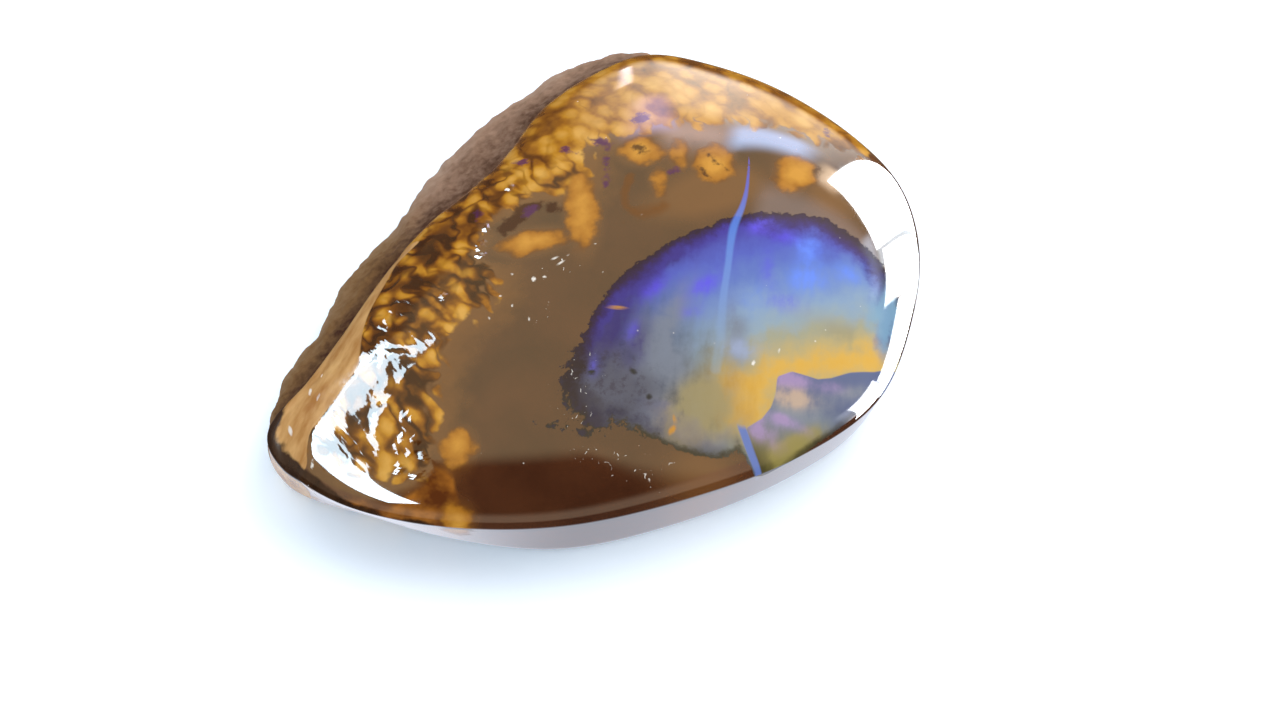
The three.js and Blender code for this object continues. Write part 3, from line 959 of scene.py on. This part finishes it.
bump_rise = 1 - np.min([across_oval(bump, plan) for bump in BUMPS], axis=0) ** 2
mark(bumps=np.clip(bump_rise, 0, 1), left=np.clip(1 - plan[:, 0] / RIPPLES_END, 0, 1))
# Painted shade: a thin dark line just below the girdle.
girdle_shade_share = add("times", add("step", "depth", 0, 0.04),
                   add("step", "depth", 0.2, 0.45, 1, 0))
colour = add("lay", girdle_shade_share, colour, "#20110a")
ripples = add("noise", stretched(add, place, -76, 0.4), 1 / 0.34, 1.5)
wavy = add("times", add("step", "nuts", 0.1, 0.8, 0, 0.5), "left")
wavy = add("larger", wavy, "relief")
waves_and_bumps = add("times_plus", ripples, wavy, "bumps")
rippled = add("ShaderNodeBump", named={"Height": waves_and_bumps, "Distance": RIPPLE_DEPTH})

# %% Put the finish together
dim_share = add("larger", opal_share, add("times", gold_share, 0.8))
dim_share = add("larger", dim_share, spot_share)
matte_share = add("larger", ochre_share, rind_and_reflection_share)
shine = add("minus", 1, add("larger", dim_share, matte_share))
roughness = add("larger", add("times", rind_and_reflection_share, 0.15), speck_and_glint_share)
roughness = add("step", roughness, 0, 1, 0.05, 0.8)
roughness = add("times_plus", ochre_share, 0.15, roughness)
surface = add("ShaderNodeBsdfPrincipled", named={
    "Base Color": colour, "Roughness": roughness, "IOR": 1.45, "Normal": rippled,
    "Coat Weight": shine, "Coat IOR": 1.7, "Coat Roughness": 0.03, "Coat Normal": rippled,
})
add("ShaderNodeOutputMaterial", surface)
tell("whole finish", polished)

# %% [markdown]
# ## The natural flank and the ground back
# The cut left the rock as it was found along the upper left, dull and craggy. Its colour
# runs from dark red-brown under the girdle, painted shade below the edge of the face, to a
# pale brown lower down, partly the rock's own colour and partly painted sheen. The back was
# only ground flat, which leaves a dull brown. Neither is polished, so both are rough and
# mirror little. Noise breaks their colour up, as no rock is of one colour.

# %% Natural flank
flank, add, place = new_finish("natural_ironstone_skin")
clouds = add("noise", place, 1 / 2.4, 4, 0.5)
lower = add("times_plus", clouds, 1.4, "depth")
pocks = add("noise", place, 1 / 0.3, 3, 0.6)
lower = add("times_plus", add("minus", pocks, 0.5), 1.2, lower)
lower = add("range", lower, 0.6, 2.4)
# The dark end of each ramp, under the girdle, is painted shade; the pale end is partly painted
# sheen.
tip_side = add("ramp", lower, stops=[(0, "#331605"), (1, "#84684a"), (0.45, "#6a4c2b")])
far_side = add("ramp", lower, stops=[(0, "#432816"), (1, "#9c8370"), (0.55, "#8a6d59")])
along = add("split_place", place).outputs["X"]
colour = add("lay", add("step", along, -6, -2), tip_side, far_side)
surface = add("ShaderNodeBsdfPrincipled", named={
    "Base Color": colour, "Roughness": 0.8, "IOR": 1.5, "Specular IOR Level": 0.05,
})
add("ShaderNodeOutputMaterial", surface)
tell("flank", flank)

# %% Ground back
back, add, place = new_finish("ground_ironstone_back")
clouds = add("noise", place, 1 / 2, 6)
colour = add("ramp", clouds, stops=[(0.35, "#4b3220"), (0.7, "#7d5f42")])
surface = add("ShaderNodeBsdfPrincipled", named={
    "Base Color": colour, "Roughness": 0.75, "IOR": 1.5,
})
add("ShaderNodeOutputMaterial", surface)
tell("back", back)

# %% Give each part of the surface its finish
POLISHED, FLANK, BACK = range(3)
BACK_NORMAL = -0.95  # the height of a normal: -1 is straight down
BACK_DEPTH = 2.9  # mm below the girdle

stone.data.materials.clear()
for finish in (polished, flank, back):
    stone.data.materials.append(finish)
for face in stone.data.polygons:
    corners = list(face.vertices)
    if face.normal.z < BACK_NORMAL and below_girdle[corners].min() > BACK_DEPTH:
        face.material_index = BACK
    elif skin[corners].mean() > 0 and below_girdle[corners].mean() > ON_FACE:
        face.material_index = FLANK
    else:
        face.material_index = POLISHED
chosen = [face.material_index for face in stone.data.polygons]
print("faces polished, natural, ground:", [chosen.count(i) for i in (POLISHED, FLANK, BACK)])

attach(stone, "root")
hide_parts(STONE_NODE)

# %% [markdown]
# ## The table and the light
# The stone lies on a white table in a bright room. Two windows show as long white
# crescents in the polish, left and right, and a cream ceiling puts a warm veil over the
# flat top. The camera's own side is dark, so there the stone shows its true deep brown.
# What the polish mirrors is set apart from the soft even light that colours the stone, so
# that each can be matched on its own.

# %% Table
TABLE_SIZE = 1.2  # metres
TABLE_FINISH = {
    "Base Color": linear("#e8eef5"), "Roughness": 0.6,
    "Emission Color": linear("#cde8ff"), "Emission Strength": 0.26,
}

bpy.ops.mesh.primitive_plane_add(size=TABLE_SIZE)
floor = bpy.context.object
floor.name = "pale_table"
floor.visible_glossy = False  # the room below stands in for the table in the polish
paper = bpy.data.materials.new("white_table")
paper.use_nodes = True
for name, value in TABLE_FINISH.items():
    paper.node_tree.nodes["Principled BSDF"].inputs[name].default_value = value
floor.data.materials.append(paper)
print("table is", TABLE_SIZE, "m wide")

# %% Lamps
LEFT_SKY = "#d6efff"
RIGHT_SKY = "#f8fcff"
# Panes of the windows: turn and height in degrees, distance, width, tallness, brightness.
WINDOWS = {
    "window_left": (-95, 51.5, 0.64, 1.4, 0.15, 19, LEFT_SKY),
    "window_left_middle": (-57, 52.5, 0.64, 0.37, 0.165, 18, LEFT_SKY),
    "window_left_far": (-38, 30, 0.64, 0.09, 0.34, 15, LEFT_SKY),
    "window_right_far": (39.8, 3.5, 0.6, 0.225, 0.64, 26, RIGHT_SKY),
    "window_right_middle": (59.5, -0.5, 0.6, 0.16, 0.66, 28, RIGHT_SKY),
    "window_right_near": (79.5, -7, 0.6, 0.266, 0.51, 28, RIGHT_SKY),
    "window_right_nearest": (102.4, 0.7, 0.6, 0.22, 0.5, 28, RIGHT_SKY),
}


def softbox(name, turn, height, distance, width, tall, brightness, colour, seen_in_polish):
    """A flat soft lamp in a direction seen from the stone, facing the stone. It either
    shows in the polish alone, or lights the stone without showing in it."""
    bpy.ops.object.light_add(type="AREA")
    lamp = bpy.context.object
    lamp.name = name
    lamp.data.shape = "RECTANGLE"
    lamp.data.size = width
    lamp.data.size_y = tall
    lamp.data.energy = brightness * math.pi * width * tall
    lamp.data.color = linear(colour)[:3]
    lamp.visible_camera = False
    lamp.visible_diffuse = not seen_in_polish
    lamp.visible_glossy = seen_in_polish
    aim(lamp, towards(turn, height) * distance, Vector((0, 0, 0)))


for name, settings in WINDOWS.items():
    softbox(name, *settings, True)
softbox("soft_key", 60, 50, 0.6, 0.6, 0.6, 2.5, "#fff8f0", False)
print(len(WINDOWS), "panes of window, and one soft lamp")

# %% The room, as the polish mirrors it
world = bpy.data.worlds.new("room")
bpy.context.scene.world = world
world.use_nodes = True
world.node_tree.nodes.clear()
add = partial(put, world.node_tree)
direction = add("ShaderNodeTexCoord").outputs["Generated"]
height = add("split_place", direction).outputs["Z"]
ahead = add("dot", direction, tuple(look_along))
aside = add("dot", direction, tuple(look_right))
turn = add("angle", aside, ahead)
low = add("step", height, 0.4, 0.5, 1, 0)
wall = add("lay", add("step", ahead, -0.3, 0.3), (0.8, 0.6, 0.42, 1), (0.3, 0.2, 0.12, 1))
room = add("lay", low, (0.93, 0.76, 0.44, 1), wall)
below = add("lay", add("step", height, -0.85, -0.7, 1, 0), (0.12, 0.08, 0.06, 1),
            (0.8, 0.84, 0.96, 1))
room = add("lay", add("step", height, -0.06, 0.06, 1, 0), room, below)
tell("ceiling, walls and table", world)

# %% Bright things in the room
# The turns and heights between which each lies, in degrees, its softness, light and slope.
BRIGHT_PATCHES = [
    ((-13, 28), (-5, 27), 0.12, (2.3, 2.4, 2.3), 0),
    ((0, 13), (-3, 26), 0.08, (5.2, 4.8, 4.1), 0),
    ((-3, 10), (29, 37), 0.06, (3.2, 2.6, 2.4), 0),
    ((10, 23), (24.5, 32), 0.04, (3.6, 4.8, 7), 0.5),
    ((-8.5, -0.5), (21, 32), 0.04, (3.9, 3.6, 5.6), 0),
    ((-11.3, -9), (-4, 12), 0.015, (9, 8, 8), 0),
    ((26, 31), (25, 33), 0.03, (6, 4.6, 3.2), 0),
    ((18, 50), (37.5, 46), 0.04, (1.9, 1.6, 1.35), 0.25),
    ((45, 62), (31.5, 36.5), 0.03, (3.6, 3.9, 4.4), 0),
    ((48, 56), (-40, 31), 0.02, (4.6, 5.2, 5.6), 0),
    ((106, 118), (-5, 24), 0.05, (5, 5, 5.2), 0),
]


def bright_patch(turns, heights, soft, slope):
    """How far a direction is within a soft patch of the room. A slope tilts its lower and
    its upper side."""
    first, last = (math.radians(side) for side in turns)
    lower, upper = (math.sin(math.radians(side)) for side in heights)
    tilted = add("times_plus", add("minus", turn, (first + last) / 2), slope, height)
    share = 1.0
    for value, low, high in ((turn, first, last), (tilted, lower, upper)):
        share = add("times", share, add("step", value, low - soft, low + soft))
        share = add("times", share, add("step", value, high - soft, high + soft, 1, 0))
    return share


for turns, heights, soft, light, slope in BRIGHT_PATCHES:
    room = add("lay", bright_patch(turns, heights, soft, slope), room, (*light, 1))
tell("bright things", world)

# %% The dark side behind the camera, and the even light
behind = add("step", ahead, -0.3, -0.14, 1, 0)
backwards = add("larger", add("times", ahead, -1), 0.01)
spread = add("over", add("size", aside), backwards)
beside = add("step", spread, 0.5, 0.7, 1, 0)
shade = add("times", behind, add("times", beside, add("step", height, 0.26, 0.5)))
room = add("lay", shade, room, (0.06, 0.04, 0.03, 1))
mirrored = add("ShaderNodeLightPath").outputs["Is Glossy Ray"]
seen = add("lay", mirrored, (0.9, 0.95, 1.02, 1), room)
background = add("ShaderNodeBackground", seen, 1)
add("ShaderNodeOutputWorld", background)
bpy.context.scene.view_settings.view_transform = "Standard"
tell("whole room", world)
